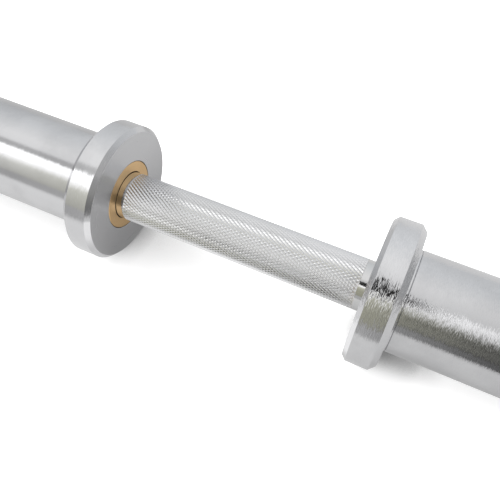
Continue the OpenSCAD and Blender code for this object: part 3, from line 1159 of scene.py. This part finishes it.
# %% Tent brightness
STRETCHES = [
    (-2.20, 0.50, 0.75, 0.1, 0.0, 28, 46, 1.90, 0.60, 0.65, 0.55),
    (-1.00, 0.50, 0.75, 0.1, 0.0, 28, 46, 1.90, 0.60, 1.10, 0.68),
    (-0.62, 0.54, 0.63, 0.4, 0.0, 34, 48, 1.78, 0.68, 1.10, 0.74),
    (-0.30, 0.80, 0.80, 0.3, 0.0, 38, 50, 1.55, 0.74, 1.05, 0.80),
    (0.00, 0.62, 0.50, 0.8, 0.0, 43, 50, 1.60, 0.80, 1.10, 0.83),
    (0.13, 0.34, 0.35, 0.5, 0.5, 34, 54, 1.45, 0.96, 1.05, 0.80),
    (0.33, 0.12, 0.13, 0.2, 0.6, 34, 60, 1.45, 0.92, 1.00, 0.78),
    (0.60, 0.20, 0.20, 0.1, 0.2, 34, 60, 0.60, 0.70, 0.90, 0.75),
    (1.30, 0.25, 0.30, 0.1, 0.0, 30, 55, 0.40, 0.50, 0.55, 0.42),
]
OLIVE = (1.0, 0.99, 0.72)
COOL = (0.96, 0.98, 1.0)
FOOT_ANGLES = (-12, 4)
RIPPLE_ANGLES = (8, 12, 16, 20, 24)
RIPPLE_BOTTOM = 0.90
RIPPLE_TOP = 1.25
STRIP_END = 63
SEAM_START = 67
SEAM_END = 75
ROOF_START = 81
ROOF_START_SHARE = 0.97
ROOF_FULL = 98
BACK_START = 140
BACK_FULL = 180


def cloth_levels(low, high, olive, ripple, strip_start, strip_full, strip, seam, roof, back):
    shade_tint = tuple(1.0 - olive * (1.0 - tone) for tone in OLIVE)
    levels = [(angle, low, WHITE) for angle in FOOT_ANGLES]
    for angle in RIPPLE_ANGLES:
        ripple = -ripple
        share = (angle - RIPPLE_ANGLES[0]) / (strip_start - RIPPLE_ANGLES[0])
        rise = RIPPLE_BOTTOM + (RIPPLE_TOP - RIPPLE_BOTTOM) * share
        levels.append((angle, high * rise * (1.0 + ripple), shade_tint))
    levels += [
        (strip_start, high * RIPPLE_TOP, shade_tint),
        (strip_full, strip, WHITE),
        (STRIP_END, strip, WHITE),
        (SEAM_START, seam, WHITE),
        (SEAM_END, seam, WHITE),
        (ROOF_START, roof * ROOF_START_SHARE, WHITE),
        (ROOF_FULL, roof, WHITE),
        (BACK_START, (roof + back) / 2, COOL),
        (BACK_FULL, back, COOL),
    ]
    return levels


print("tent described at", len(STRETCHES), "places along the bar")

# %% [markdown]
# Each row becomes a colour ramp over the height angle, and the ramps blend into each other
# along the bar. The ramp holds colours up to white only, so it stores shares of the full
# level, and the glow's strength brings the full level back.

# %% Tent cloth
FULL_LEVEL = 2.0
LOW_ANGLE = -60.0
HIGH_ANGLE = 180.0

cloth = bpy.data.materials.new("tent_cloth")
cloth.use_nodes = True
tree = cloth.node_tree
tree.nodes.remove(tree.nodes["Principled BSDF"])
cloth_place = add_node(tree, "ShaderNodeSeparateXYZ", Vector=own_place(tree))
forward = arithmetic(tree, "MULTIPLY", cloth_place.outputs["Y"], -1.0)
turn = arithmetic(tree, "ARCTAN2", cloth_place.outputs["Z"], forward)
degrees = arithmetic(tree, "MULTIPLY", turn, 180.0 / math.pi)
height_share = arithmetic(tree, "SUBTRACT", degrees, LOW_ANGLE)
height_share = arithmetic(tree, "DIVIDE", height_share, HIGH_ANGLE - LOW_ANGLE)


def cloth_ramp(levels):
    ramp = add_node(tree, "ShaderNodeValToRGB", Fac=height_share)
    stops = ramp.color_ramp.elements
    while len(stops) < len(levels):
        stops.new(0.5)
    for stop, (angle, level, tint) in zip(stops, levels):
        stop.position = (angle - LOW_ANGLE) / (HIGH_ANGLE - LOW_ANGLE)
        stop.color = (*(level / FULL_LEVEL * tone for tone in tint), 1.0)
    return ramp.outputs["Color"]


tent_colour = cloth_ramp(cloth_levels(*STRETCHES[0][1:]))
for before, after in zip(STRETCHES, STRETCHES[1:]):
    passed = span(tree, cloth_place.outputs["X"], (before[0], after[0]), easing="LINEAR")
    tent_colour = blend(tree, "RGBA", passed, tent_colour, cloth_ramp(cloth_levels(*after[1:])))
glow = add_node(tree, "ShaderNodeEmission", Color=tent_colour, Strength=FULL_LEVEL)
feed(tree, tree.nodes["Material Output"].inputs["Surface"], glow.outputs[0])
tent.data.materials.append(cloth)
print("tent cloth has", len(tree.nodes), "nodes")

# %% [markdown]
# The camera is a dark thing just over the bar, and the polished metal below it shows it
# as a black fleck. A flat oval stands in for it, and only mirrored rays see it.

# %% Camera shade
SHADE_HALF_WIDTH = 0.038
SHADE_HALF_HEIGHT = 0.046
SHADE_RISE = 0.014
SHADE_SIDES = 32
SHADE_BLACK = (0.03, 0.03, 0.028, 1.0)
SHADE_ROUGHNESS = 0.7

towards_bar = Vector((0.0, CAMERA_PLACE.y, CAMERA_PLACE.z)).normalized()
shade_up = towards_bar.cross(Vector((1.0, 0.0, 0.0)))
shade_centre = CAMERA_PLACE + shade_up * SHADE_RISE
shade_points = []
for i in range(SHADE_SIDES):
    angle = 2 * math.pi * i / SHADE_SIDES
    across = Vector((SHADE_HALF_WIDTH * math.cos(angle), 0.0, 0.0))
    shade_points.append(shade_centre + across + shade_up * SHADE_HALF_HEIGHT * math.sin(angle))
shade_mesh = bpy.data.meshes.new("camera_shade")
shade_mesh.from_pydata(shade_points, [], [tuple(range(SHADE_SIDES))])
shade = add_piece("camera_shade", shade_mesh)
shade.visible_camera = False
shade.visible_diffuse = False
shade.visible_shadow = False
shade_black = bpy.data.materials.new("camera_black")
shade_black.use_nodes = True
shader = shade_black.node_tree.nodes["Principled BSDF"]
shader.inputs["Base Color"].default_value = SHADE_BLACK
shader.inputs["Roughness"].default_value = SHADE_ROUGHNESS
shade.data.materials.append(shade_black)
print("camera shade centre:", [round(v, 3) for v in shade_centre])

# %% [markdown]
# ## Light
#
# One soft key light comes from the left, high up. It lays the short soft shadow beside the
# left collar and in front of the right sleeve. The metal doesn't mirror it. The world adds
# an even white from all round.

# %% Key light and world
KEY_FROM = Vector((-0.55, 0.10, 0.83))
KEY_LEVEL = 1.6
KEY_SPREAD = math.radians(35)
WORLD_LEVEL = 1.15

key_data = bpy.data.lights.new("window", "SUN")
key_data.energy = KEY_LEVEL
key_data.angle = KEY_SPREAD
key = bpy.data.objects.new("window", key_data)
key.rotation_euler = (-KEY_FROM).to_track_quat("-Z", "Y").to_euler()
key.visible_glossy = False
bpy.context.scene.collection.objects.link(key)

world = bpy.data.worlds.new("world")
bpy.context.scene.world = world
world.use_nodes = True
background = world.node_tree.nodes["Background"]
background.inputs["Color"].default_value = (*WHITE, 1.0)
background.inputs["Strength"].default_value = WORLD_LEVEL
print("key light", KEY_LEVEL, "and world", WORLD_LEVEL)
